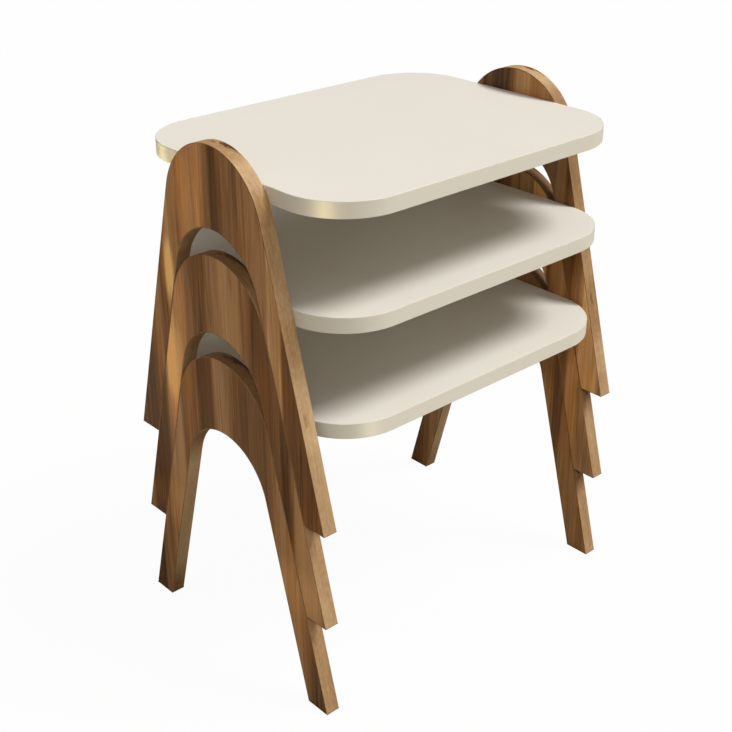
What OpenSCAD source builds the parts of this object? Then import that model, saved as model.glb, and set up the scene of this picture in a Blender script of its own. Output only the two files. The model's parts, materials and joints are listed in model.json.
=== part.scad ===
// Set of three identical stacking side tables.
// Each table is a rounded board held between two A-shaped end panels. The arch of an upper table's
// panel fits over the round top of the panel below, slanted edge against slanted edge.
// X runs along the board, Y from front to back and Z up. The origin is on the floor, in the middle.

/* [End panels] */
// Thickness of an end panel, with its edge bands
panel_t = 18; // [16:1:22]
// Height of the round top above the floor
panel_h = 392; // [380:1:410]
// Distance over the front and back feet at the floor
foot_spread = 344; // [330:1:370]
// Lean of the legs from upright, in degrees
splay = 15.3; // [14:0.1:16.5]
// Level width of one leg at the floor
leg_w = 33.25; // [30:0.25:38]
// Height of the arch between the legs
arch_h = 299.5; // [285:0.5:310]

/* [Board] */
// Length of the board between the end panels
board_l = 450; // [380:1:600]
// Width of the board from front to back
board_w = 355; // [330:1:400]
// Thickness of the board
board_t = 18; // [18:1:22]
// Radius of the board's four corners
board_corner_r = 76; // [50:1:100]
// Height of the board's top face above the floor
board_top = 362; // [350:1:366]
// Half-width of the stretch of each board end that bears on the end panel
end_bearing = 68; // [62:1:72]
// How far the rest of the board's end stands back, so that the next table's legs pass it
end_relief = 0.3; // [0.2:0.05:0.5]

/* [Edge bands] */
// Thickness of the edge bands on the boards and the end panels
band_t = 1; // [0.6:0.1:2]

/* [Stacking] */
// Level gap between the slanted edges of two stacked tables
nest_gap = 0.3; // [0.2:0.05:0.6]

/* [Cam fittings] */
// Diameter of the blind hole for a cam lock in the board's underside
cam_hole_d = 15; // [14:0.5:16]
// Depth of that hole
cam_hole_depth = 13.5; // [13.5:0.1:14.5]
// Distance of a cam lock's axis from the board's end
cam_inset = 34; // [26:1:40]
// Distance of the cam locks from the middle of the board
cam_y = 22; // [18:1:28]
// Diameter of the hole for a cam bolt in the board's end
bolt_hole_d = 8; // [7.5:0.1:8.5]
// Diameter of a cam bolt's thread
bolt_thread_d = 5; // [4:0.5:6]
// Length of a cam bolt's thread in the end panel
bolt_thread_l = 11; // [8:0.5:12]
// Diameter of a cover cap
cap_d = 17; // [17:0.5:20]
// Thickness of a cover cap's rim
cap_t = 1.2; // [0.8:0.1:1.6]

/* [Dowels] */
// Diameter of a dowel
dowel_d = 8; // [6:0.5:8]
// Length of a dowel
dowel_l = 30; // [25:1:35]
// Depth of a dowel in the end panel
dowel_in_panel = 10; // [8:0.5:12]
// Distance of the dowels from the middle of the board
dowel_y = 50; // [44:1:54]

/* [Hidden] */
TABLES = ["lower", "middle", "upper"];
PIECES = [
    "top_board", "top_edge_band", "panel_left", "panel_right",
    "outer_band_left", "outer_band_right", "arch_band_left", "arch_band_right", "foot_bands",
    "cam_locks", "cam_bolts", "cam_caps", "dowels"
];

$fn = 96;
over = 1;        // how far a cutting shape runs past the face that it cuts
fit = 0.05;      // radial clearance of a fitting in its hole
end_play = 0.5;  // free length behind a fitting at the bottom of its hole

walnut = "#8a5a34";
walnut_edge = "#c39a69";
cream = "#e6e2d8";
zinc = "#9a9c9e";
beech = "#d8b98a";

// Height by which each table stands above the one below, from where the slanted edges meet
pitch = (leg_w + nest_gap) / tan(splay);
// Radius of the arc with its top at height z that runs smoothly into slanted edges, which meet the floor
// at foot_y from the middle
function crown_r(foot_y, z) = (foot_y - z * tan(splay)) * cos(splay) / (1 - sin(splay));
// Distance of such a slanted edge from the middle at height z
function slant_y(foot_y, z) = foot_y - z * tan(splay);

outer_foot_y = foot_spread / 2;
arch_foot_y = outer_foot_y - leg_w;
outer_r = crown_r(outer_foot_y, panel_h);
arch_r = crown_r(arch_foot_y, arch_h);
outer_centre_z = panel_h - outer_r;
arch_centre_z = arch_h - arch_r;

board_bottom = board_top - board_t;
board_mid = board_top - board_t / 2;
board_end = board_l / 2;
cam_x = board_end - cam_inset;
cam_r = cam_hole_d / 2 - fit;

bolt_head_r = 3.2;   // ball end that the cam pulls on
bolt_neck_r = 2;     // waist behind the ball end
bolt_taper_l = 1;    // cone from the waist to the shank
bolt_shank_r = 3.2;
bolt_collar_t = 1.5;
bolt_tip_l = 2;      // taper at the thread's end
cam_slot_play = 0.2; // clearance of the bolt in the cam lock
cam_turn_room = 1;   // room round the ball end inside the cam lock
cam_floor = 0.3;     // how deep the cam lock sits below the board's underside
drive_depth = 3;     // screwdriver cross in the cam lock
drive_w = 1.6;
drive_l = 9;
cap_stub_r = 1.8;    // stub that holds the cap in the cam lock's cross
cap_stub_l = 2.6;
cap_chamfer = 0.8;
dowel_chamfer = 1;

// Copies its children to the side of each of the signs xs along X and ys along Y
module at_signs(xs, ys) {
    for (x = xs, y = ys)
        on_side(x, y) children();
}

// Mirrors its children to the sides that the signs x and y give
module on_side(x, y) {
    mirror([x < 0 ? 1 : 0, 0, 0])
        mirror([0, y < 0 ? 1 : 0, 0])
            children();
}

// Stands a flat (y, z) shape upright at an end panel's place, on the right for side 1, on the left for -1
module upright(side) {
    on_side(side, 1)
        translate([board_end, 0, 0])
            rotate([90, 0, 90])
                linear_extrude(panel_t) children();
}

// Turned solid along X from start_x on, at the board's mid-height, from a profile drawn as (radius, length)
module along_x(start_x) {
    translate([start_x, 0, board_mid])
        rotate([0, 90, 0])
            rotate_extrude() children();
}

// Round-topped A shape from height z0 up, with an arc of radius r about centre_z, whose slanted edges meet
// the floor at foot_y
module a_shape(foot_y, r, centre_z, z0) {
    touch_y = r * cos(splay);
    touch_z = centre_z + r * sin(splay);
    translate([0, centre_z]) circle(r);
    polygon([
        [-slant_y(foot_y, z0), z0], [slant_y(foot_y, z0), z0],
        [touch_y, touch_z], [-touch_y, touch_z]
    ]);
}

// Outer outline of an end panel from height z0 up, moved in by inset
module outer_shape(inset, z0)
    a_shape(outer_foot_y - inset / cos(splay), outer_r - inset, outer_centre_z, z0);

// Outline of the arch from height z0 up, moved out by outset
module arch_shape(outset, z0)
    a_shape(arch_foot_y + outset / cos(splay), arch_r + outset, arch_centre_z, z0);

// Rectangle with rounded corners
module rounded_shape(l, w, r) {
    square([l, w - 2 * r], center = true);
    square([l - 2 * r, w], center = true);
    for (x = [-1, 1], y = [-1, 1])
        translate([x * (l / 2 - r), y * (w / 2 - r)]) circle(r);
}

// Outline of a board with its edge band moved in by inset
module board_shape(inset)
    rounded_shape(board_l - 2 * (end_relief + inset), board_w - 2 * inset, board_corner_r - inset);

// Holes in the board's ends for the cam bolts and the dowels
module board_end_holes() {
    at_signs([-1, 1], [-1, 1]) {
        translate([cam_x, cam_y, board_mid])
            rotate([0, 90, 0]) cylinder(d = bolt_hole_d, h = cam_inset + over);
        translate([board_end - dowel_l + dowel_in_panel - end_play, dowel_y, board_mid])
            rotate([0, 90, 0]) cylinder(r = dowel_d / 2 + fit, h = dowel_l);
    }
}

// Board without its edge band, with its drilled holes
module top_board() {
    color(cream)
        difference() {
            translate([0, 0, board_bottom]) linear_extrude(board_t) board_shape(band_t);
            board_end_holes();
            at_signs([-1, 1], [-1, 1])
                translate([cam_x, cam_y, board_bottom - over])
                    cylinder(d = cam_hole_d, h = cam_hole_depth + over);
        }
}

// Band all round the board, proud by the relief where the board's ends bear on the panels
module top_edge_band() {
    color(cream)
        difference() {
            translate([0, 0, board_bottom])
                linear_extrude(board_t)
                    difference() {
                        union() {
                            board_shape(0);
                            square([board_l, 2 * end_bearing], center = true);
                        }
                        board_shape(band_t);
                    }
            board_end_holes();
        }
}

// A-shaped end panel without its bands, with the holes for the bolts and dowels in its inner face
module end_panel(side) {
    color(walnut)
        difference() {
            upright(side)
                difference() {
                    outer_shape(band_t, band_t);
                    arch_shape(band_t, band_t - over);
                }
            at_signs([side], [-1, 1]) {
                translate([board_end - over, cam_y, board_mid])
                    rotate([0, 90, 0])
                        cylinder(r = bolt_thread_d / 2 + fit, h = bolt_thread_l + end_play + over);
                translate([board_end - over, dowel_y, board_mid])
                    rotate([0, 90, 0])
                        cylinder(r = dowel_d / 2 + fit, h = dowel_in_panel + end_play + over);
            }
        }
}

// Band over the outer edge of an end panel, from foot to foot
module outer_band(side) {
    color(walnut_edge)
        upright(side)
            difference() {
                outer_shape(0, band_t);
                outer_shape(band_t, band_t - over);
            }
}

// Band in the arch of an end panel, from foot to foot
module arch_band(side) {
    color(walnut_edge)
        upright(side)
            difference() {
                arch_shape(band_t, band_t);
                arch_shape(0, band_t - over);
            }
}

// Bands under the four feet
module foot_bands() {
    color(walnut_edge)
        for (side = [-1, 1], end = [-1, 1])
            upright(side)
                polygon([
                    [end * arch_foot_y, 0], [end * outer_foot_y, 0],
                    [end * slant_y(outer_foot_y, band_t), band_t],
                    [end * slant_y(arch_foot_y, band_t), band_t]
                ]);
}

// Cam locks in the board's underside, each with the slot that turns behind its bolt's ball end
module cam_locks() {
    head_r = bolt_head_r + cam_slot_play;
    slot = 2 * (bolt_neck_r + cam_slot_play);
    color(zinc)
        at_signs([-1, 1], [-1, 1])
            translate([cam_x, cam_y, board_bottom])
                difference() {
                    translate([0, 0, cam_floor]) cylinder(r = cam_r, h = cam_hole_depth - 2 * cam_floor);
                    translate([0, 0, board_t / 2 - head_r])
                        cylinder(r = bolt_head_r + cam_turn_room, h = 2 * head_r);
                    translate([0, -slot / 2, board_t / 2 - slot / 2]) cube([cam_hole_d, slot, slot]);
                    rotate([0, 0, -90])
                        translate([0, 0, board_t / 2])
                            rotate([0, 90, 0]) cylinder(r = head_r, h = cam_hole_d);
                    rotate([0, 0, -90])
                        rotate_extrude(angle = 90)
                            translate([0, board_t / 2 - slot / 2]) square([cam_hole_d, slot]);
                    for (turn = [0, 90])
                        rotate([0, 0, turn + 45])
                            translate([-drive_l / 2, -drive_w / 2, 0])
                                cube([drive_l, drive_w, cam_floor + drive_depth]);
                    cylinder(r = cap_stub_r + fit, h = cam_floor + drive_depth);
                }
}

// Cam bolts: thread in the end panel, collar at the joint, shank and ball end in the board
module cam_bolts() {
    ball = [for (a = [-90 : 30 : 30]) bolt_head_r * [cos(a), sin(a)]];
    neck_start = sqrt(bolt_head_r * bolt_head_r - bolt_neck_r * bolt_neck_r);
    neck_end = cam_r + bolt_taper_l;
    collar_r = bolt_hole_d / 2 - fit;
    collar_start = cam_inset - bolt_collar_t;
    thread_r = bolt_thread_d / 2;
    bolt_end = cam_inset + bolt_thread_l;
    color(zinc)
        at_signs([-1, 1], [-1, 1])
            translate([0, cam_y, 0])
                along_x(cam_x)
                    polygon(concat(ball, [
                        [bolt_neck_r, neck_start], [bolt_neck_r, neck_end],
                        [bolt_shank_r, neck_end + bolt_taper_l], [bolt_shank_r, collar_start],
                        [collar_r, collar_start], [collar_r, cam_inset],
                        [thread_r, cam_inset], [thread_r, bolt_end - bolt_tip_l],
                        [thread_r / 2, bolt_end], [0, bolt_end]
                    ]));
}

// Cover caps over the cam locks
module cam_caps() {
    color(cream)
        at_signs([-1, 1], [-1, 1])
            translate([cam_x, cam_y, board_bottom])
                rotate_extrude()
                    polygon([
                        [0, -cap_t], [cap_d / 2 - cap_chamfer, -cap_t],
                        [cap_d / 2, cap_chamfer - cap_t], [cap_d / 2, 0],
                        [cap_stub_r, 0], [cap_stub_r, cap_stub_l], [0, cap_stub_l]
                    ]);
}

// Wooden dowels across the joints between the board and the end panels
module dowels() {
    color(beech)
        at_signs([-1, 1], [-1, 1])
            translate([0, dowel_y, 0])
                along_x(board_end + dowel_in_panel - dowel_l)
                    polygon([
                        [0, 0], [dowel_d / 2 - dowel_chamfer, 0], [dowel_d / 2, dowel_chamfer],
                        [dowel_d / 2, dowel_l - dowel_chamfer], [dowel_d / 2 - dowel_chamfer, dowel_l],
                        [0, dowel_l]
                    ]);
}

for (i = [0 : len(TABLES) - 1])
    translate([0, 0, i * pitch]) {
        top_board();
        top_edge_band();
        end_panel(-1);
        end_panel(1);
        outer_band(-1);
        outer_band(1);
        arch_band(-1);
        arch_band(1);
        foot_bands();
        cam_locks();
        cam_bolts();
        cam_caps();
        dowels();
    }
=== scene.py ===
"""Looks of a stack of three side tables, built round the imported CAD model.

The panels' cores, the boards' cores and the cam locks are the CAD's own meshes with new materials.
The edge bands, foot bands, caps, bolts and dowels are detailed meshes that stand for their CAD nodes.
"""
import json
import math

import bmesh
import bpy
from mathutils import Euler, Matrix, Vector

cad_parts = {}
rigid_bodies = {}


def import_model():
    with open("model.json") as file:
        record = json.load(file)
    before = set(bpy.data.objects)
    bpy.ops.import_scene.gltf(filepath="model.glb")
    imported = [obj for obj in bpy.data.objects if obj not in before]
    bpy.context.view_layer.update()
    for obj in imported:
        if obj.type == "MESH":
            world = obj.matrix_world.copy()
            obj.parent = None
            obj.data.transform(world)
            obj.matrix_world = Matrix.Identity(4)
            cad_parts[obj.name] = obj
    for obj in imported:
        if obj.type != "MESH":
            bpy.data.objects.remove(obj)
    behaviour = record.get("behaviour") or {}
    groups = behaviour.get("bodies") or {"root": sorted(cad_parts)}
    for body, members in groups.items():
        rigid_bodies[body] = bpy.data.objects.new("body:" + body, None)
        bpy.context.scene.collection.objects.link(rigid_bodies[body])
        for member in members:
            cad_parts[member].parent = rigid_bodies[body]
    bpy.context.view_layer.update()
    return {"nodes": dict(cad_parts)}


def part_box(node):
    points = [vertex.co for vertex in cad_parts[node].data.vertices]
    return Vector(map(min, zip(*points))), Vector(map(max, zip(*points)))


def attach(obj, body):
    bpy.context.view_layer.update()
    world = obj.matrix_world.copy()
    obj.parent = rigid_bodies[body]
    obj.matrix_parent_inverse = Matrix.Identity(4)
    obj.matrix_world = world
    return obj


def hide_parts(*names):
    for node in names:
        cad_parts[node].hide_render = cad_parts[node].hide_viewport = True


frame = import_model()

MM = 0.001
TABLES = ("lower", "middle", "upper")
SIDES = {"left": -1, "right": 1}
CORNERS = [(sx, sy) for sx in (-1, 1) for sy in (-1, 1)]

# Shape, as in the CAD
SPLAY = math.radians(15.3)              # lean of the legs
LEG_W = 33.25 * MM                      # level width of a leg
BAND_T = 1.0 * MM                       # thickness of every band
CORNER_R = 76 * MM                      # corners of the boards
END_BEARING = 68 * MM                   # a board's end bears on its panel up to this far from the middle
END_RELIEF = 0.3 * MM                   # the rest of the end stands back by this
CAM_Y = 22 * MM
CAP_R = 8.5 * MM
BOLT_HOLE_R = 4 * MM
DOWEL_Y = 50 * MM
DOWEL_R = 4 * MM
DOWEL_IN_BOARD = 20 * MM
FIT = 0.05 * MM                         # clearance round a dowel

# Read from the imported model
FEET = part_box("lower_foot_bands")
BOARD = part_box("lower_top_edge_band")
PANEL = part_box("lower_outer_band_right")
ARCH_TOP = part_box("lower_arch_band_right")[1].z - BAND_T
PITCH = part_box("middle_top_board")[1].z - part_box("lower_top_board")[1].z
CAM_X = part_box("lower_cam_caps")[1].x - CAP_R
PANEL_X = (PANEL[0].x + PANEL[1].x) / 2
PANEL_T = PANEL[1].x - PANEL[0].x
PANEL_TOP = PANEL[1].z
FOOT_Y = FEET[1].y
BOARD_X = BOARD[1].x
BOARD_Y = BOARD[1].y
BOARD_Z0, BOARD_Z1 = BOARD[0].z, BOARD[1].z
BOARD_MID = (BOARD_Z0 + BOARD_Z1) / 2

# Small edges and steps of the detailed meshes
ARRIS = 0.5 * MM
ARRIS_STEPS = 4
SEAM = 0.12 * MM                        # chamfer where a band meets the face beside it
FOOT_ARRIS = 0.4 * MM
FOOT_ARRIS_STEPS = 3
SLANT_STEPS = 8
ARC_STEPS = 96
CORNER_STEPS = 32
SMOOTH_ANGLE = 32                       # degrees up to which an edge is shaded smooth
FOOT_SMOOTH_ANGLE = 40

# Thread of the cam bolts, with lengths from the cam's axis
THREAD_R = 2.5 * MM
THREAD_CORE_R = 1.7 * MM                # to which the thread runs out
THREAD_DEPTH = 0.55 * MM
THREAD_PITCH = 1.6 * MM
THREAD_START = 34.15 * MM
THREAD_END = 44.4 * MM
THREAD_STEPS = 52


def crown_r(foot_y, z):
    """Radius of the arc that has its top at height z and runs smoothly into slanted edges, which reach
    the floor foot_y from the middle."""
    return (foot_y - z * math.tan(SPLAY)) * math.cos(SPLAY) / (1 - math.sin(SPLAY))


# A-shaped edges of a panel: the edge's Y at the floor, the arc's radius and top, and 1 where the band's show
# face looks away from the panel's middle line or -1 where it looks into the arch
EDGES = {
    "outer": (FOOT_Y, crown_r(FOOT_Y, PANEL_TOP), PANEL_TOP, 1),
    "arch": (FOOT_Y - LEG_W, crown_r(FOOT_Y - LEG_W, ARCH_TOP), ARCH_TOP, -1),
}


# ---------------------------------------------------------------- meshes

def linked(name, data):
    """A new object with this data, in the scene."""
    obj = bpy.data.objects.new(name, data)
    bpy.context.scene.collection.objects.link(obj)
    return obj


def smooth_object(name, mesh, angle):
    """An object from a mesh, shaded smooth across edges up to angle degrees."""
    mesh.shade_smooth()
    mesh.set_sharp_from_angle(angle=math.radians(angle))
    return linked(name, mesh)


def new_object(name, verts, faces, uvs=None, wear=None):
    """A smooth object. uvs has a list of (u, v) for each face, and wear has a value for each vertex."""
    mesh = bpy.data.meshes.new(name)
    mesh.from_pydata(verts, [], faces)
    if uvs is not None:
        layer = mesh.uv_layers.new(name="grain")
        flat = [c for face in uvs for uv in face for c in uv]
        layer.data.foreach_set("uv", flat)
    if wear is not None:
        attribute = mesh.attributes.new("wear", "FLOAT", "POINT")
        attribute.data.foreach_set("value", wear)
    mesh.validate()
    obj = smooth_object(name, mesh, SMOOTH_ANGLE)
    weighted = obj.modifiers.new("Weighted", "WEIGHTED_NORMAL")
    weighted.keep_sharp = True
    return obj


def band_profile(half_w):
    """Section of a band as (across, inset, wear): rounded outer arrises and small chamfers where it meets the
    panel's or board's face."""
    right = [(half_w - SEAM, BAND_T, 0), (half_w, BAND_T - SEAM, 0)]
    for i in range(ARRIS_STEPS + 1):
        a = math.pi / 2 * i / ARRIS_STEPS
        right.append((half_w - ARRIS + ARRIS * math.cos(a), ARRIS - ARRIS * math.sin(a), 1))
    right.append((half_w - 2 * ARRIS, 0, 0))
    left = [(-x, inset, wear) for x, inset, wear in reversed(right)]
    return right + left


def lengths_across(profile):
    """Length round a band's section up to each of its points."""
    across = [0.0]
    for a, b in zip(profile, profile[1:]):
        across.append(across[-1] + math.dist(a[:2], b[:2]))
    return across


def sweep(points, closed_path):
    """Faces and UVs of a grid of rings: points[ring][k] is (vertex, along, across)."""
    rings, n = len(points), len(points[0])
    faces, uvs = [], []
    for i in range(rings if closed_path else rings - 1):
        j = (i + 1) % rings
        for k in range(n):
            m = (k + 1) % n
            corners = [(i, k), (j, k), (j, m), (i, m)]
            faces.append([r * n + c for r, c in corners])
            uv = []
            for r, c in corners:
                along, across = points[r][c][1:]
                if closed_path and r == 0 and i == rings - 1:
                    along = points[-1][c][1] + (points[1][c][1] - points[0][c][1])
                if c == 0 and k == n - 1:
                    across = points[r][n - 1][2] + BAND_T
                uv.append((along, across))
            uvs.append(uv)
    if not closed_path:
        for ring, order in ((0, range(n - 1, -1, -1)), (rings - 1, range(n))):
            faces.append([ring * n + k for k in order])
            uvs.append([points[ring][k][1:] for k in order])
    return faces, uvs


def band_object(name, points, profile, closed_path, flip=False):
    """The band that sweep makes from its rings. flip turns its faces over."""
    faces, uvs = sweep(points, closed_path)
    if flip:
        faces = [list(reversed(face)) for face in faces]
        uvs = [list(reversed(uv)) for uv in uvs]
    wear = [w for _ in points for _, _, w in profile]
    return new_object(name, [v for ring in points for v, _, _ in ring], faces, uvs, wear)


def a_line(foot_y, radius, top_z, inset):
    """Points (y, z, length so far) along an A-shaped outline moved in by inset: up the front slant from the
    top of the foot bands, round the arc and down the back slant."""
    centre = top_z - radius
    foot = foot_y - inset / math.cos(SPLAY)
    r = radius - inset
    touch = (-r * math.cos(SPLAY), centre + r * math.sin(SPLAY))
    start = (-(foot - BAND_T * math.tan(SPLAY)), BAND_T)
    run = touch[0] - start[0]
    rise = touch[1] - start[1]
    slant = []
    for i in range(SLANT_STEPS):
        slant.append((start[0] + run * i / SLANT_STEPS, start[1] + rise * i / SLANT_STEPS))
    arc = []
    for i in range(ARC_STEPS + 1):
        a = math.pi - SPLAY - (math.pi - 2 * SPLAY) * i / ARC_STEPS
        arc.append((r * math.cos(a), centre + r * math.sin(a)))
    line = slant + arc + [(-y, z) for y, z in reversed(slant)]
    length = 0.0
    out = []
    for i, p in enumerate(line):
        if i:
            length += math.dist(p, line[i - 1])
        out.append((p[0], p[1], length))
    return out


def a_band(name, edge, x_mid, lift):
    """The band on one of a panel's A-shaped edges, outer or arch."""
    foot_y, radius, top_z, outward = EDGES[edge]
    profile = band_profile(PANEL_T / 2)
    across = lengths_across(profile)
    lines = {inset: a_line(foot_y, radius, top_z, outward * inset) for _, inset, _ in profile}
    points = []
    for i, (_, _, along) in enumerate(lines[0]):
        ring = []
        for k, (x, inset, _) in enumerate(profile):
            y, z, _ = lines[inset][i]
            ring.append(((x_mid + x, y, z + lift), along, across[k]))
        points.append(ring)
    return band_object(name, points, profile, closed_path=False, flip=outward > 0)


def board_band(name, lift):
    """The band round a board. Its ends are proud by the relief where they bear on the panels."""
    profile = band_profile((BOARD_Z1 - BOARD_Z0) / 2)
    across = lengths_across(profile)
    cx = BOARD_X - END_RELIEF - CORNER_R
    cy = BOARD_Y - CORNER_R
    end = [(END_BEARING + END_RELIEF, False), (END_BEARING, True), (-END_BEARING, True),
           (-END_BEARING - END_RELIEF, False)]
    stations = []       # (X and Y of a point CORNER_R inside the band, angle of the normal, whether it bears)
    for quarter, (sx, sy) in enumerate(((1, 1), (-1, 1), (-1, -1), (1, -1))):
        for i in range(CORNER_STEPS + 1):
            stations.append((sx * cx, sy * cy, math.pi / 2 * (quarter + i / CORNER_STEPS), False))
        if quarter in (1, 3):
            for y, bears in end:
                stations.append((sx * cx, sy * y, math.pi / 2 * (quarter + 1), bears))
    points = []
    length = 0.0
    last = None
    for px, py, a, bears in stations:
        nx, ny = math.cos(a), math.sin(a)
        here = (px + CORNER_R * nx, py + CORNER_R * ny)
        length += math.dist(here, last) if last else 0
        last = here
        ring = []
        for k, (z, inset, _) in enumerate(profile):
            r = CORNER_R - inset
            x = px + r * nx
            if bears and inset < BAND_T - 2 * SEAM:
                x += math.copysign(END_RELIEF, nx)
            ring.append(((x, py + r * ny, BOARD_MID + z + lift), length, across[k]))
        points.append(ring)
    return band_object(name, points, profile, closed_path=True)


def foot_bands(name, lift):
    """The four bands under the feet, with rounded lower arrises."""
    bm = bmesh.new()
    uv_layer = bm.loops.layers.uv.new("grain")
    inner, outer = FOOT_Y - LEG_W, FOOT_Y
    drift = BAND_T * math.tan(SPLAY)
    halfway = lift + BAND_T / 2
    for sx, sy in CORNERS:
        verts = []
        for x in (PANEL_X - PANEL_T / 2, PANEL_X + PANEL_T / 2):
            for y, z in ((inner, 0), (outer, 0), (outer - drift, BAND_T), (inner - drift, BAND_T)):
                verts.append(bm.verts.new((sx * x, sy * y, z + lift)))
        a, b = verts[:4], verts[4:]
        bm.faces.new(a)
        bm.faces.new(b[::-1])
        for k in range(4):
            m = (k + 1) % 4
            bm.faces.new((a[m], a[k], b[k], b[m]))
    low = [e for e in bm.edges if all(v.co.z < halfway for v in e.verts)]
    bmesh.ops.bevel(bm, geom=low, offset=FOOT_ARRIS, segments=FOOT_ARRIS_STEPS, profile=0.5, affect="EDGES")
    bmesh.ops.recalc_face_normals(bm, faces=bm.faces)
    for face in bm.faces:
        for loop in face.loops:
            loop[uv_layer].uv = (loop.vert.co.y, loop.vert.co.x)
    wear_layer = bm.verts.layers.float.new("wear")
    for v in bm.verts:
        v[wear_layer] = 1.0 if v.co.z < halfway else 0.0
    mesh = bpy.data.meshes.new(name)
    bm.to_mesh(mesh)
    bm.free()
    return smooth_object(name, mesh, FOOT_SMOOTH_ANGLE)


def lathe(rows, columns, radius_at=None):
    """Vertices and faces of a turned solid from rows of (radius, length). The first and last rows lie on the
    axis. radius_at(radius, length, angle) may reshape a row."""
    verts, faces = [], []
    body = rows[1:-1]
    verts.append((0.0, 0.0, rows[0][1]))
    for r, t in body:
        for c in range(columns):
            a = 2 * math.pi * c / columns
            shaped = radius_at(r, t, a) if radius_at else r
            verts.append((shaped * math.cos(a), shaped * math.sin(a), t))
    verts.append((0.0, 0.0, rows[-1][1]))
    last = len(verts) - 1
    for c in range(columns):
        d = (c + 1) % columns
        faces.append([0, 1 + d, 1 + c])
        faces.append([last, last - columns + c, last - columns + d])
        for i in range(len(body) - 1):
            p = 1 + i * columns
            faces.append([p + c, p + d, p + columns + d, p + columns + c])
    return verts, faces


def merged(name, solids):
    """One object from several (verts, faces) solids, with all faces looking outwards."""
    verts, faces = [], []
    for v, f in solids:
        base = len(verts)
        verts += v
        faces += [[base + i for i in face] for face in f]
    obj = new_object(name, verts, faces)
    bm = bmesh.new()
    bm.from_mesh(obj.data)
    bmesh.ops.recalc_face_normals(bm, faces=bm.faces)
    bm.to_mesh(obj.data)
    bm.free()
    return obj


def along_x(solid, sx, sy, start, y, z):
    """Lays a turned solid along X from start towards the board's end on side sx."""
    verts, faces = solid
    return [(sx * (start + v[2]), sy * y + v[0], z + v[1]) for v in verts], faces


def upright(solid, x, y, z):
    """Puts a turned solid at a place with its axis upright."""
    verts, faces = solid
    return [(x + v[0], y + v[1], z + v[2]) for v in verts], faces


def in_metres(rows):
    """Rows of (radius, length) from millimetres to metres."""
    return [(r * MM, t * MM) for r, t in rows]


def bolt_solid():
    """Cam bolt with its ball end, waist, shank, collar and coarse thread, along Z from the cam's axis."""
    ball = [(3.2 * math.sin(math.pi * i / 8), -3.2 * math.cos(math.pi * i / 8)) for i in range(7)]
    waist = [(2.0, 2.8), (2.0, 8.4), (2.2, 8.8), (3.0, 9.4)]
    shank = [(3.2, 9.7), (3.2, 32.4), (3.3, 32.5)]
    collar = [(3.8, 32.5), (3.94, 32.7), (3.94, 33.9), (3.8, 34.0), (2.1, 34.0)]
    tip = [(1.3, 44.9), (0.6, 45.0), (0, 45.0)]
    thread = []
    for i in range(THREAD_STEPS + 1):
        thread.append((THREAD_R, THREAD_START + (THREAD_END - THREAD_START) * i / THREAD_STEPS))

    def threaded(r, t, a):
        if t < THREAD_START or r < THREAD_R:
            return r
        phase = (t / THREAD_PITCH - a / (2 * math.pi)) % 1
        depth = THREAD_DEPTH * min(1, 2.2 * abs(2 * phase - 1))
        taper = min(1, (THREAD_END + 0.2 * MM - t) / (2.5 * MM))
        return THREAD_CORE_R + (r - THREAD_CORE_R - depth) * taper
    return lathe(in_metres(ball + waist + shank + collar) + thread + in_metres(tip), 28, threaded)


def dowel_solid():
    """Dowel with 16 flutes and chamfered ends, 30 mm long."""
    end = [(0, 0), (2.9, 0), (3.2, 0.1), (3.9, 0.95), (4.0, 1.1)]
    far_end = [(r, 30 - t) for r, t in reversed(end)]

    def fluted(r, t, a):
        if r < 3.3 * MM:
            return r
        return r - 0.22 * MM * max(0.0, math.cos(16 * a)) ** 0.6
    return lathe(in_metres(end + far_end), 128, fluted)


def cap_solid():
    """Cover cap with a soft crown below and the stub that holds it above."""
    angles = [math.pi / 2 * i / 8 for i in range(9)]
    crown = [(CAP_R * math.sin(a) ** 0.3, -1.2 * MM * math.cos(a)) for a in angles]
    stub = [(1.8, 0), (1.8, 2.3), (1.5, 2.6), (0, 2.6)]
    return lathe(crown + in_metres(stub), 48)


def cut_end_holes(band, lift):
    """Bores the bolt and dowel holes through the board's end bands."""
    start = BOARD_X - 2.5 * MM
    length = 4 * MM
    cutters = []
    for sx, sy in CORNERS:
        for y, r in ((CAM_Y, BOLT_HOLE_R), (DOWEL_Y, DOWEL_R + FIT)):
            cylinder = lathe([(0, 0), (r, 0), (r, length), (0, length)], 48)
            cutters.append(along_x(cylinder, sx, sy, start, y, BOARD_MID + lift))
    cutter = merged("hole_cutter", cutters)
    cutter.modifiers.clear()
    cut = band.modifiers.new("Holes", "BOOLEAN")
    cut.operation = "DIFFERENCE"
    cut.solver = "EXACT"
    cut.object = cutter
    band.modifiers.move(band.modifiers.find("Holes"), 0)
    shown = band.evaluated_get(bpy.context.evaluated_depsgraph_get())
    mesh = bpy.data.meshes.new_from_object(shown)
    mesh.name = band.name
    band.modifiers.clear()
    band.data = mesh
    bpy.data.objects.remove(cutter)
    return band


# ---------------------------------------------------------------- materials

def srgb(r, g, b):
    """Linear colour from 0-255 display values."""
    def linear(c):
        c /= 255
        return c / 12.92 if c <= 0.04045 else ((c + 0.055) / 1.055) ** 2.4
    return (linear(r), linear(g), linear(b), 1)


def times(colour, factors):
    """A colour with its first three channels multiplied, as an RGBA one."""
    return tuple(c * k for c, k in zip(colour, factors)) + (1,)


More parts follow.
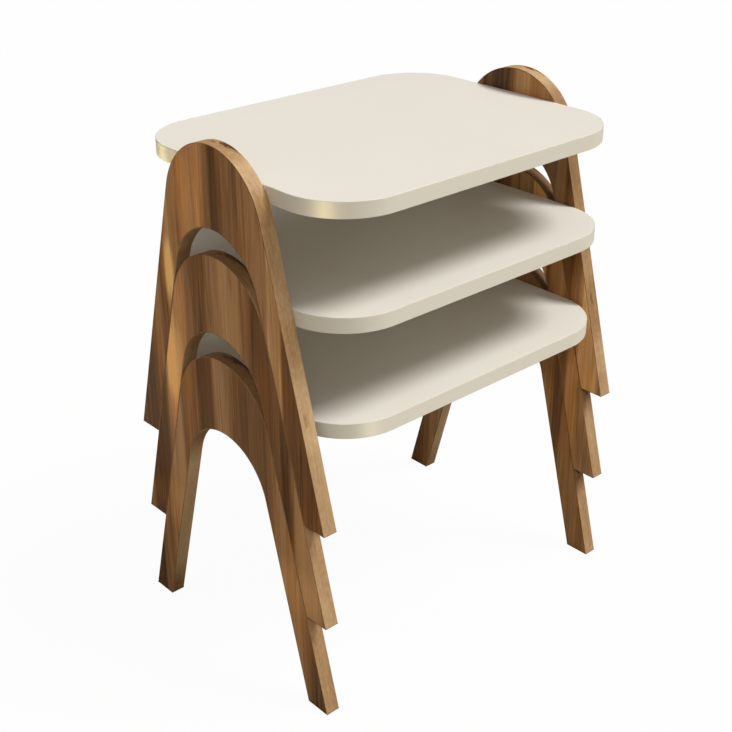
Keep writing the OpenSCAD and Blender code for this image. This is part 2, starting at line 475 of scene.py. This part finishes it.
class Nodes:
    """The node tree of a material or world, with a short call for its nodes."""

    def __init__(self, owner):
        owner.use_nodes = True
        self.tree = owner.node_tree
        self.tree.nodes.clear()

    def add(self, kind, inputs=(), **settings):
        """A new node. inputs gives each named or numbered socket a value, or a socket to link it to."""
        node = self.tree.nodes.new("ShaderNode" + kind)
        for key, value in settings.items():
            setattr(node, key, value)
        for key, value in dict(inputs).items():
            socket = node.inputs[key]
            if isinstance(value, bpy.types.NodeSocket):
                self.tree.links.new(value, socket)
            else:
                socket.default_value = value
        return node


class Finish(Nodes):
    """A material's node tree, with short calls for what the materials share. Most calls return a socket."""

    def __init__(self, name):
        self.material = bpy.data.materials.new(name)
        super().__init__(self.material)

    def math(self, operation, a, b=0.0, clamp=False):
        return self.add("Math", {0: a, 1: b}, operation=operation, use_clamp=clamp).outputs[0]

    def add_scaled(self, value, factor, total):
        """total + value * factor"""
        return self.add("Math", {0: value, 1: factor, 2: total}, operation="MULTIPLY_ADD").outputs[0]

    def above(self, value, start, gain):
        """0 up to start, rising to 1 above it."""
        return self.math("MULTIPLY", self.math("SUBTRACT", value, start), gain, clamp=True)

    def scaled(self, vector, scale, offset=(0, 0, 0)):
        """vector * scale + offset"""
        node = self.add("VectorMath", {0: vector, 1: scale, 2: offset}, operation="MULTIPLY_ADD")
        return node.outputs[0]

    def noise(self, vector, scale, detail=2.0, roughness=0.5, offset=(0, 0, 0)):
        """Noise centred on 0, about -0.5 to 0.5. scale is cycles per metre along each axis."""
        inputs = {"Vector": self.scaled(vector, scale, offset), "Scale": 1.0, "Detail": detail,
                  "Roughness": roughness}
        return self.math("SUBTRACT", self.add("TexNoise", inputs).outputs[0], 0.5)

    def ramp(self, value, stops):
        """Colour from stops of (place, colour)."""
        node = self.add("ValToRGB", {0: value})
        elements = node.color_ramp.elements
        elements.remove(elements[1])
        for i, (place, colour) in enumerate(stops):
            element = elements[0] if i == 0 else elements.new(place)
            element.position = place
            element.color = colour
        return node.outputs[0]

    def mix(self, factor, a, b):
        """Colour a where factor is 0, and b where it is 1."""
        return self.add("Mix", {0: factor, 6: a, 7: b}, data_type="RGBA").outputs[2]

    def streak(self, place, middle, half_width):
        """1 along a streak about middle, falling to 0 at half_width on both sides of it."""
        away = self.math("ABSOLUTE", self.math("SUBTRACT", place, middle))
        return self.add("Math", {0: away, 1: -STREAK_EDGE / half_width, 2: STREAK_EDGE},
                        operation="MULTIPLY_ADD", use_clamp=True).outputs[0]

    def ellipse(self, u, v, middle, half):
        """0 in the middle of an ellipse, 1 on its outline and more outside it."""
        du = self.math("DIVIDE", self.math("SUBTRACT", u, middle[0]), half[0])
        dv = self.math("DIVIDE", self.math("SUBTRACT", v, middle[1]), half[1])
        return self.math("ADD", self.math("MULTIPLY", du, du), self.math("MULTIPLY", dv, dv))

    def wear(self, vector, scale, base, strength):
        """Mask of the worn arrises, broken up by noise."""
        worn = self.add("Attribute", attribute_name="wear").outputs["Fac"]
        rub = self.math("ADD", base, self.noise(vector, scale, detail=3, offset=(6, 2, 7)), clamp=True)
        return self.math("MULTIPLY", self.math("MULTIPLY", worn, rub), strength)

    def bump(self, height, strength, distance):
        return self.add("Bump", {"Height": height, "Strength": strength, "Distance": distance}).outputs[0]

    def surface(self, colour, roughness, normal, **constants):
        """Ends the tree with its shader and returns the material. constants are further inputs, with _ for
        each space in their names."""
        inputs = {"Base Color": colour, "Roughness": roughness, "Normal": normal}
        inputs.update({key.replace("_", " "): value for key, value in constants.items()})
        self.add("OutputMaterial", {"Surface": self.add("BsdfPrincipled", inputs).outputs[0]})
        return self.material


# Walnut from its darkest heartwood line to its lightest sapwood streak, as greyish and as reddish wood
GREY_WALNUT = [(0.0, (50, 38, 24)), (0.2, (82, 58, 36)), (0.4, (106, 77, 49)), (0.6, (128, 98, 68)),
               (0.8, (150, 116, 80)), (1.0, (188, 154, 104))]
RED_WALNUT = [(0.0, (52, 34, 18)), (0.2, (86, 54, 25)), (0.4, (108, 72, 37)), (0.6, (132, 92, 53)),
              (0.8, (156, 107, 60)), (1.0, (196, 148, 86))]
FACE_LIGHT = (0.56, 0.575, 0.63)        # light on a panel's face, by which its shown colours are divided
BAND_PALETTE = [(0.0, (70, 47, 28)), (0.3, (110, 80, 51)), (0.6, (151, 118, 81)), (1.0, (201, 172, 132))]
BAND_SIDE_TONE = 0.36                   # tone of a band's own edge, on the grey palette
PORE_COLOUR = (0.035, 0.018, 0.008, 1)
FLECK_COLOUR = (0.13, 0.065, 0.03, 1)
WORN_WALNUT = srgb(206, 168, 122)
WALNUT_SPECULAR = 0.15
STREAK_EDGE = 3.2                       # steepness of a streak's edges


def walnut_colours(palette):
    """The stops of a walnut palette as the wood's own colours, without the light on the panel's face."""
    stops = []
    for tone, shown in palette:
        own = tuple(c / light for c, light in zip(srgb(*shown)[:3], FACE_LIGHT))
        stops.append((tone, own + (1,)))
    return stops


def fibres(f, vector):
    """Grain shared by the walnut pieces. vector is (across, through, along) in metres.
    Returns the tone to add, the pores' mask and the height for bump."""
    fine = f.noise(vector, (1500, 1500, 26), detail=3, roughness=0.6)
    medium = f.noise(vector, (420, 420, 7), detail=3, roughness=0.55, offset=(3, 7, 1))
    broad = f.noise(vector, (70, 70, 3.5), detail=2, offset=(11, 2, 5))
    speck = f.noise(vector, (2600, 2600, 190), detail=1, offset=(5, 1, 9))
    pores = f.above(speck, 0.13, 9.0)
    vein = f.noise(vector, (45, 45, 1.6), detail=3, roughness=0.6, offset=(7, 5, 3))
    veins = f.math("SUBTRACT", 1.0, f.math("MULTIPLY", f.math("ABSOLUTE", vein), 26.0), clamp=True)
    patch = f.noise(vector, (24, 24, 4), detail=2, offset=(9, 8, 2))
    patch = f.math("MAXIMUM", f.add_scaled(patch, 3.5, 1.0), 0.25)
    tone = f.add_scaled(fine, 0.32, f.math("MULTIPLY", medium, 0.38))
    tone = f.math("MULTIPLY", tone, patch)
    tone = f.add_scaled(broad, 0.34, tone)
    tone = f.add_scaled(veins, -0.15, tone)
    height = f.math("SUBTRACT", f.math("MULTIPLY", fine, 0.5), f.math("MULTIPLY", pores, 0.6))
    return tone, pores, height


def walnut_panel(name, veneer, pale_patches_and_highlights, lift, seed):
    """Upright walnut veneer. veneer is (tone, redness, streaks), with streaks of (Y of the middle,
    half-width, tone to add, redness to add), and the pale patches, some of them painted highlights, are (Y,
    height, half-width, half-height, tone to add), in mm."""
    base_tone, base_red, streaks = veneer
    f = Finish(name)
    place = f.add("TexCoord").outputs["Object"]
    parts = f.add("SeparateXYZ", {0: place}).outputs
    vector = f.add("CombineXYZ", {0: parts[1], 1: parts[0], 2: parts[2]}).outputs[0]
    vector = f.scaled(vector, (1, 1, 1), (seed * 1.7, seed * 0.9, seed * 2.3))
    wander = f.noise(vector, (9, 9, 3.2), detail=2)
    ripple = f.noise(vector, (60, 60, 9), detail=2, offset=(2, 4, 8))
    across = f.add_scaled(wander, 14 * MM, parts[1])
    across = f.add_scaled(ripple, 4 * MM, across)
    grain, pores, height = fibres(f, vector)
    cloud = f.noise(vector, (14, 14, 6), detail=2, offset=(8, 3, 2))
    tone = f.math("ADD", f.add_scaled(cloud, 0.22, base_tone), grain)
    red = f.add_scaled(cloud, 0.3, base_red)
    for y, half, lighter, redder in streaks:
        near = f.streak(across, y * MM, half * MM)
        tone = f.add_scaled(near, lighter, tone)
        red = f.add_scaled(near, redder, red)
    # Pale patches, the tall ones on the left legs being painted highlights
    for y, z, half_y, half_z, lighter in pale_patches_and_highlights:
        away = f.ellipse(across, parts[2], (y * MM, z * MM + lift), (half_y * MM, half_z * MM))
        tone = f.add_scaled(f.math("SUBTRACT", 1.0, away, clamp=True), lighter, tone)
    red = f.math("ADD", red, 0.0, clamp=True)
    grey_wood = f.ramp(tone, walnut_colours(GREY_WALNUT))
    red_wood = f.ramp(tone, walnut_colours(RED_WALNUT))
    colour = f.mix(red, grey_wood, red_wood)
    warmth = f.noise(vector, (26, 26, 4), detail=2, offset=(1, 9, 6))
    hue = f.add_scaled(warmth, -0.018, 0.5)
    saturation = f.add_scaled(warmth, 0.35, 1.0)
    colour = f.add("HueSaturation", {"Hue": hue, "Saturation": saturation, "Color": colour}).outputs[0]
    colour = f.mix(f.math("MULTIPLY", pores, 0.35), colour, PORE_COLOUR)
    rough = f.add_scaled(cloud, 0.12, f.add_scaled(pores, 0.2, 0.46))
    return f.surface(colour, rough, f.bump(height, 0.25, 0.08 * MM), Specular_IOR_Level=WALNUT_SPECULAR)


def walnut_band(name, figure_and_shade, seed, knots=()):
    """Edge band with its grain along the band, dark flecks and lightly worn arrises. The band's tone and
    streaks come as (tone, streaks), with streaks of (length along the band, half-length, tone to add); on the
    middle and lower tables' outer bands the tone carries painted shade. knots are dark marks: (length along,
    length across, half-length, half-width, depth), in mm. The band's own edge, seen on the panel's face, is
    as brown as the veneer."""
    base_tone, streaks = figure_and_shade
    f = Finish(name)
    along, across = f.add("SeparateXYZ", {0: f.add("UVMap", uv_map="grain").outputs[0]}).outputs[:2]
    vector = f.add("CombineXYZ", {0: across, 1: 0.0, 2: along}).outputs[0]
    vector = f.scaled(vector, (1, 1, 1), (seed * 1.3, seed * 0.7, seed * 2.1))
    grain, pores, height = fibres(f, vector)
    cloud = f.noise(vector, (30, 30, 9), detail=3, offset=(4, 4, 4))
    mottle = f.noise(vector, (340, 340, 150), detail=4, roughness=0.62, offset=(2, 8, 5))
    tone = f.add_scaled(grain, 0.35, base_tone)
    tone = f.add_scaled(cloud, 0.3, tone)
    tone = f.add_scaled(mottle, 0.38, tone)
    for u, half, lighter in streaks:
        tone = f.add_scaled(f.streak(along, u * MM, half * MM), lighter, tone)
    for u, v, half_u, half_v, depth in knots:
        away = f.ellipse(along, across, (u * MM, v * MM), (half_u * MM, half_v * MM))
        near = f.math("SUBTRACT", 1.0, f.add_scaled(mottle, 2.4, away), clamp=True)
        tone = f.add_scaled(near, -depth, tone)
    colour = f.ramp(tone, [(t, srgb(*shown)) for t, shown in BAND_PALETTE])
    flecks = f.above(f.noise(vector, (800, 800, 330), detail=2, offset=(9, 1, 3)), 0.13, 7.0)
    colour = f.mix(f.math("MULTIPLY", flecks, 0.36), colour, FLECK_COLOUR)
    facing = f.add("SeparateXYZ", {0: f.add("TexCoord").outputs["Normal"]}).outputs[0]
    side = f.above(f.math("ABSOLUTE", facing), 0.55, 4.0)
    side_tone = f.math("ADD", BAND_SIDE_TONE, f.math("ADD", grain, cloud))
    colour = f.mix(side, colour, f.ramp(side_tone, walnut_colours(GREY_WALNUT)))
    colour = f.mix(f.wear(vector, (500, 500, 60), 0.4, 0.12), colour, WORN_WALNUT)
    rough = f.add_scaled(pores, 0.2, 0.5)
    return f.surface(colour, rough, f.bump(height, 0.3, 0.1 * MM), Specular_IOR_Level=WALNUT_SPECULAR)


def cream(name, colour, grain_uv=False, roughness=0.42, **gloss):
    """Satin cream laminate with faint cloudiness and a fine orange-peel bump. With grain_uv it lies along a
    band, and its arrises are slightly soiled."""
    f = Finish(name)
    if grain_uv:
        place = f.add("UVMap", uv_map="grain").outputs[0]
    else:
        place = f.add("TexCoord").outputs["Object"]
    cloud = f.noise(place, (9, 9, 9), detail=3)
    mottle = f.noise(place, (160, 160, 160), detail=3, offset=(3, 1, 2))
    peel = f.noise(place, (900, 900, 900), detail=2, offset=(1, 5, 3))
    brush = f.noise(place, (26, 420, 420), detail=3, offset=(7, 2, 4))
    tint = f.math("ADD", f.math("MULTIPLY", cloud, 0.35), f.math("MULTIPLY", mottle, 0.35))
    tint = f.math("ADD", 0.5, f.math("ADD", tint, f.math("MULTIPLY", brush, 0.3)), clamp=True)
    shade = f.mix(tint, times(colour, (0.965, 0.96, 0.945)), times(colour, (1.03, 1.035, 1.045)))
    if grain_uv:
        soiled = times(colour, (0.86, 0.83, 0.76))
        shade = f.mix(f.wear(place, (300, 300, 60), 0.35, 0.35), shade, soiled)
    rough = f.math("ADD", roughness, f.math("MULTIPLY", cloud, 0.10))
    rough = f.math("ADD", rough, f.math("MULTIPLY", mottle, 0.06))
    height = f.math("ADD", f.math("MULTIPLY", peel, 0.6), f.math("MULTIPLY", brush, 0.4))
    return f.surface(shade, rough, f.bump(height, 0.12, 0.1 * MM), **gloss)


def zinc(name):
    """Zinc plating: greyish metal with cloudy roughness and fine tool marks."""
    f = Finish(name)
    place = f.add("TexCoord").outputs["Object"]
    cloud = f.noise(place, (260, 260, 260), detail=4)
    marks = f.noise(place, (3500, 3500, 3500), detail=2, offset=(4, 2, 9))
    stops = [(0.25, (0.42, 0.43, 0.45, 1)), (0.6, (0.62, 0.63, 0.65, 1)), (0.85, (0.74, 0.75, 0.74, 1))]
    colour = f.ramp(f.math("ADD", 0.5, cloud), stops)
    rough = f.math("ADD", 0.36, f.math("MULTIPLY", cloud, 0.3))
    return f.surface(colour, rough, f.bump(marks, 0.2, 0.05 * MM), Metallic=1.0)


def beech(name):
    """Raw beech with short rays and lengthwise grain along X."""
    f = Finish(name)
    place = f.add("TexCoord").outputs["Object"]
    grain = f.noise(place, (60, 1800, 1800), detail=3)
    rays = f.noise(place, (420, 4000, 4000), detail=1, offset=(2, 6, 4))
    stops = [(0.2, srgb(196, 158, 112)), (0.55, srgb(216, 182, 138)), (0.85, srgb(228, 200, 160))]
    colour = f.ramp(f.math("ADD", 0.5, grain), stops)
    colour = f.mix(f.math("MULTIPLY", f.above(rays, 0.15, 6.0), 0.4), colour, srgb(150, 108, 70))
    rough = f.math("ADD", 0.62, f.math("MULTIPLY", grain, 0.15))
    return f.surface(colour, rough, f.bump(grain, 0.4, 0.1 * MM), Specular_IOR_Level=0.3)


# Each panel's veneer: its tone, its redness, and its streaks from the front foot to the back one, as (Y of
# the middle, half-width, tone to add, redness to add), in mm
VENEERS = {
    "upper_left": (.42, .5, [(-140, 32, -.15, 0), (-97, 12, .36, -.5), (-67, 26, .15, -.2), (-5, 8, -.26, 0),
                             (37, 27, .31, .3), (76, 15, .16, -.3), (89, 8, .18, -.1), (100, 8, -.04, .4),
                             (118, 8, .12, 0), (155, 25, -.2, -.3)]),
    "middle_left": (.45, .4, [(-143, 27, .21, -.2), (-85, 38, -.22, 0), (-108, 8, -.14, .2),
                              (-24, 19, .2, -.4), (5, 15, .08, -.3), (33, 14, -.16, 0), (84, 27, .32, .4),
                              (135, 27, -.32, .3)]),
    "lower_left": (.45, .4, [(-163, 20, -.26, -.1), (-112, 29, .16, -.3), (-50, 36, -.17, .1),
                             (4, 13, .14, -.2), (32, 17, -.24, .4), (66, 16, 0, .4), (82, 4, -.12, 0),
                             (102, 24, .22, -.3), (165, 20, -.33, -.2)]),
    # On the right panels the lighter streaks near Y -80 are partly grain and partly painted light that lifts
    # the shade under the boards
    "upper_right": (.46, .3, [(-146, 22, .34, .2), (-100, 13, -.2, .3), (-80, 8, .1, -.2), (-11, 12, .2, -.4),
                              (32, 30, -.36, .3), (125, 14, .12, 0), (160, 20, -.12, 0)]),
    "middle_right": (.52, .3, [(-158, 12, .08, -.3), (-122, 12, .14, .3), (-108, 6, -.15, .5),
                               (-85, 14, .2, .2), (-53, 15, .5, 0), (-20, 20, .26, -.4), (20, 18, -.16, 0),
                               (70, 14, -.2, 0), (160, 22, -.15, 0)]),
    "lower_right": (.46, .3, [(-160, 10, -.1, 0), (-103, 9, -.24, .2), (-82, 10, .14, 0), (-45, 30, .14, 0),
                              (12, 14, .14, 0), (108, 30, .32, -.1), (162, 16, -.14, 0)]),
}
# Pale patches of the veneer: (Y, height, half-width, half-height, tone to add), in mm. The tall narrow
# patches near Y 90 on the upper and middle left legs are painted highlights
PALE_PATCHES_AND_HIGHLIGHTS = {
    "upper_left": [(89, 226, 15, 48, .48), (48, 330, 40, 50, .10)],
    "middle_left": [(90, 240, 22, 70, .22), (120, 34, 60, 30, .12), (-150, 34, 60, 30, .10)],
    "lower_left": [(-120, 150, 60, 40, .10), (110, 150, 60, 40, .10)],
}
# Figure of the bands: tone, and streaks of (length along the band, half-length, tone to add), in mm. On the
# middle and lower tables the outer bands' dark tone is painted shade from the table above, lifted near the
# feet
OUTER_FIGURES_AND_SHADE = {
    "upper_left": (.70, [(135, 45, .10), (215, 30, -.08), (350, 18, -.08), (390, 20, .06), (470, 60, -.08),
                         (506, 26, -.24)]),
    "upper_right": (.70, [(50, 25, .10), (120, 40, -.08), (365, 35, -.12), (445, 45, .14)]),
    # Middle and lower outer bands: dark tone that is painted shade under the table above, paler near the feet
    "middle_left": (.38, [(40, 105, .36), (350, 50, .18), (455, 50, -.06), (870, 100, .32)]),
    "middle_right": (.38, [(35, 75, .31), (400, 40, .08), (870, 100, .30)]),
    "lower_left": (.32, [(45, 98, .34), (430, 25, -.06), (870, 100, .32)]),
    "lower_right": (.36, [(35, 75, .34), (400, 40, .06), (870, 100, .28)]),
}
# Dark marks of the outer bands: (length along, length across, half-length, half-width, depth), in mm
KNOTS = [(441, 5, 13, 4, .6), (429, 2.5, 13, 2.4, .5), (456, 8, 7, 2, .35),
         (128, 12, 10, 3, .20), (566, 7, 12, 4, .30), (730, 13, 9, 3, .25)]
ARCH_FIGURES = {
    "upper": (.54, [(300, 120, -.07), (408, 30, .20)]),
    "middle": (.56, [(270, 130, -.08), (430, 40, .14), (570, 100, .08)]),
    "lower": (.54, [(560, 130, .30)]),
}
FOOT_FIGURE = (.50, [])
BOARD_COLOUR = (0.742, 0.720, 0.655)
EDGE_COLOUR = (0.77, 0.745, 0.645)


# ---------------------------------------------------------------- the tables

def put(obj, table, material, slot, *nodes):
    """Gives a new piece its material and its body, and hides the CAD nodes that it stands for. slot is not
    used.
    """
    obj.data.materials.clear()
    obj.data.materials.append(material)
    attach(obj, table + "_table")
    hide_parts(*nodes)


def repaint(node, material):
    """Gives a CAD node a new material."""
    for place in frame["nodes"][node].material_slots:
        place.link = "OBJECT"
        place.material = material


BOARD_FINISH = cream("cream_laminate", BOARD_COLOUR, Specular_IOR_Level=0.3)
EDGE_FINISH = cream("cream_edge_band", EDGE_COLOUR, grain_uv=True, Specular_IOR_Level=0.5)
CAP_FINISH = cream("cream_cap", BOARD_COLOUR, roughness=0.5, Specular_IOR_Level=0.4)
ZINC_FINISH = zinc("zinc_plating")
BEECH_FINISH = beech("raw_beech")
FOOT_FINISH = walnut_band("foot_band_walnut", FOOT_FIGURE, 12.0)


def end_panels(table, level, lift):
    """A table's veneered end panels, with the bands on their edges and under their feet."""
    arch_finish = walnut_band(table + "_arch_band_walnut", ARCH_FIGURES[table], 7.0 + level)
    for side, sign in SIDES.items():
        panel = f"{table}_{side}"
        seed = 3.0 + level + 0.4 * sign
        outer_finish = walnut_band(panel + "_outer_band_walnut", OUTER_FIGURES_AND_SHADE[panel], seed, KNOTS)
        pale_patches_and_highlights = PALE_PATCHES_AND_HIGHLIGHTS.get(panel, ())
        veneer = walnut_panel(panel + "_walnut", VENEERS[panel], pale_patches_and_highlights, lift, level * 2 + sign)
        repaint(f"{table}_panel_{side}", veneer)
        for edge, finish in (("outer", outer_finish), ("arch", arch_finish)):
            node = f"{table}_{edge}_band_{side}"
            put(a_band(node + "_rounded", edge, sign * PANEL_X, lift), table, finish, "walnut_band", node)
    node = table + "_foot_bands"
    put(foot_bands(node + "_rounded", lift), table, FOOT_FINISH, "walnut_band", node)


def board(table, lift):
    """A table's board and the band round it."""
    node = table + "_top_edge_band"
    edge = cut_end_holes(board_band(node + "_rounded", lift), lift)
    put(edge, table, EDGE_FINISH, "board_edge", node)
    repaint(table + "_top_board", BOARD_FINISH)


def fittings(table, lift):
    """A table's cam locks, cam bolts, dowels and caps."""
    repaint(table + "_cam_locks", ZINC_FINISH)
    z = BOARD_MID + lift
    bolts = [along_x(bolt_solid(), sx, sy, CAM_X, CAM_Y, z) for sx, sy in CORNERS]
    bolts = merged(table + "_cam_bolts_threaded", bolts)
    put(bolts, table, ZINC_FINISH, "zinc_fitting", table + "_cam_bolts")
    dowels = [along_x(dowel_solid(), sx, sy, BOARD_X - DOWEL_IN_BOARD, DOWEL_Y, z) for sx, sy in CORNERS]
    dowels = merged(table + "_dowels_fluted", dowels)
    put(dowels, table, BEECH_FINISH, "dowel", table + "_dowels")
    caps = [upright(cap_solid(), sx * CAM_X, sy * CAM_Y, BOARD_Z0 + lift) for sx, sy in CORNERS]
    caps = merged(table + "_cam_caps_crowned", caps)
    put(caps, table, CAP_FINISH, "cap", table + "_cam_caps")


for level, table in enumerate(TABLES):
    lift = level * PITCH
    end_panels(table, level, lift)
    board(table, lift)
    fittings(table, lift)


# ---------------------------------------------------------------- stage, light and camera

FLOOR_REACH = 14.0
FLOOR_DROP = 0.2 * MM                   # keeps the floor clear of the feet
GLOSS_PANEL_Z = -20 * MM
GLOSS_PANEL_RISE = 0.6                  # how far above its own height a gloss panel aims

# The photo's viewpoint
CAMERA_PLACE = (-0.95907, -1.02363, 1.0166)
CAMERA_DIP = 26.975                     # degrees below level
CAMERA_HEADING = -42.345                # degrees from +Y
FOCAL_LENGTH = 62.14                    # mm, on a sensor 36 mm wide


def floor_material():
    """Shows nearly white from above, with only a trace of shadow, and not at all from below. It throws soft
    light back at the object."""
    f = Finish("pale_floor")
    pale = f.add("Emission", {"Color": (1, 1, 1, 1), "Strength": 0.99}).outputs[0]
    matt = f.add("BsdfDiffuse", {"Color": (0.92, 0.92, 0.92, 1)}).outputs[0]
    bounce = f.add("BsdfDiffuse", {"Color": (0.42, 0.385, 0.34, 1)}).outputs[0]
    seen = f.add("MixShader", {0: 0.03, 1: pale, 2: matt}).outputs[0]
    direct = f.add("LightPath").outputs["Is Camera Ray"]
    top = f.add("MixShader", {0: direct, 1: bounce, 2: seen}).outputs[0]
    under = f.add("NewGeometry").outputs["Backfacing"]
    clear = f.add("BsdfTransparent").outputs[0]
    both = f.add("MixShader", {0: under, 1: top, 2: clear}).outputs[0]
    f.add("OutputMaterial", {"Surface": both})
    return f.material


def stage_floor():
    """A wide plain floor."""
    corners = ((-1, -1), (1, -1), (1, 1), (-1, 1))
    verts = [(x * FLOOR_REACH, y * FLOOR_REACH, -FLOOR_DROP) for x, y in corners]
    mesh = bpy.data.meshes.new("floor")
    mesh.from_pydata(verts, [], [(0, 1, 2, 3)])
    mesh.materials.append(floor_material())
    floor = linked("floor", mesh)
    floor.visible_shadow = False


def receivers(name, endings):
    """A collection of all tables' pieces with names that end so, for lights that fall only on these."""
    group = bpy.data.collections.new(name)
    for obj in bpy.data.objects:
        if obj.name.startswith(TABLES) and obj.name.endswith(endings):
            group.objects.link(obj)
    return group


def sun(name, direction, strength, angle, colour, glossy=True, lit=None):
    """A distant soft light that comes from direction. It falls on the pieces in lit, or on everything."""
    data = bpy.data.lights.new(name, "SUN")
    data.energy = strength
    data.angle = math.radians(angle)
    data.color = colour
    light = linked(name, data)
    light.rotation_euler = Vector(direction).to_track_quat("Z", "Y").to_euler()
    light.visible_glossy = glossy
    if lit:
        light.light_linking.receiver_collection = lit


def gloss_panel(name, place, target, radius, watts, colour, table):
    """A warm disc just under the floor, which doesn't shade it. It shows only as a highlight on the edge of
    one table's board. place and target are (X, Y)."""
    data = bpy.data.lights.new(name, "AREA")
    data.shape = "DISK"
    data.size = 2 * radius
    data.energy = watts
    data.color = colour
    light = linked(name, data)
    light.location = (place[0], place[1], GLOSS_PANEL_Z)
    toward = Vector((target[0] - place[0], target[1] - place[1], GLOSS_PANEL_RISE))
    light.rotation_euler = toward.to_track_quat("-Z", "Y").to_euler()
    light.visible_diffuse = False
    light.visible_camera = False
    lit = bpy.data.collections.new(name + "_receives")
    lit.objects.link(bpy.data.objects[table + "_top_edge_band_rounded"])
    light.light_linking.receiver_collection = lit


def studio_world():
    """Dim warm light from all round, with plain white behind the object."""
    world = bpy.data.worlds.new("studio")
    nodes = Nodes(world)
    around = nodes.add("Background", {"Color": (1.0, 0.82, 0.62, 1), "Strength": 0.12}).outputs[0]
    behind = nodes.add("Background", {"Color": (1, 1, 1, 1), "Strength": 1.0}).outputs[0]
    seen = nodes.add("LightPath").outputs["Is Camera Ray"]
    both = nodes.add("MixShader", {0: seen, 1: around, 2: behind}).outputs[0]
    nodes.add("OutputWorld", {"Surface": both})
    bpy.context.scene.world = world


def photo_camera():
    """The camera at the photo's viewpoint."""
    data = bpy.data.cameras.new("camera")
    data.lens = FOCAL_LENGTH
    data.sensor_width = 36
    data.clip_start = 0.05
    data.clip_end = 100
    camera = linked("camera", data)
    camera.location = CAMERA_PLACE
    camera.rotation_euler = Euler((math.radians(90 - CAMERA_DIP), 0, math.radians(CAMERA_HEADING)))
    bpy.context.scene.camera = camera


stage_floor()
sun("key", (0.43, -0.45, 1.0), 2.75, 23, (1.0, 0.995, 0.985))
sun("overhead", (0.0, 0.0, 1.0), 0.95, 100, (1.0, 1.0, 1.0), glossy=False)
walnut = receivers("walnut_pieces", ("panel_left", "panel_right", "band_left_rounded", "band_right_rounded",
                                     "foot_bands_rounded"))
boards = receivers("board_pieces", ("top_board", "top_edge_band_rounded", "cam_caps_crowned"))
sun("front_fill", (-0.35, -0.92, 0.25), 0.6, 50, (1.0, 0.96, 0.90), glossy=False, lit=boards)
sun("left_fill", (-0.60, -0.65, 0.80), 1.3, 14, (1.0, 0.97, 0.92), glossy=False, lit=walnut)
gloss_panel("left_front_gloss", (-1.33, -0.49), (-0.211, -0.145), 0.32, 31.0, (1.0, 0.80, 0.42), "upper")
gloss_panel("left_back_gloss", (-0.55, 1.25), (-0.221, 0.12), 0.26, 14.0, (1.0, 0.82, 0.40), "upper")
gloss_panel("front_gloss", (-0.19, -0.87), (-0.177, -0.172), 0.16, 3.4, (1.0, 0.82, 0.52), "lower")
studio_world()
photo_camera()
bpy.context.scene.view_settings.view_transform = "Standard"
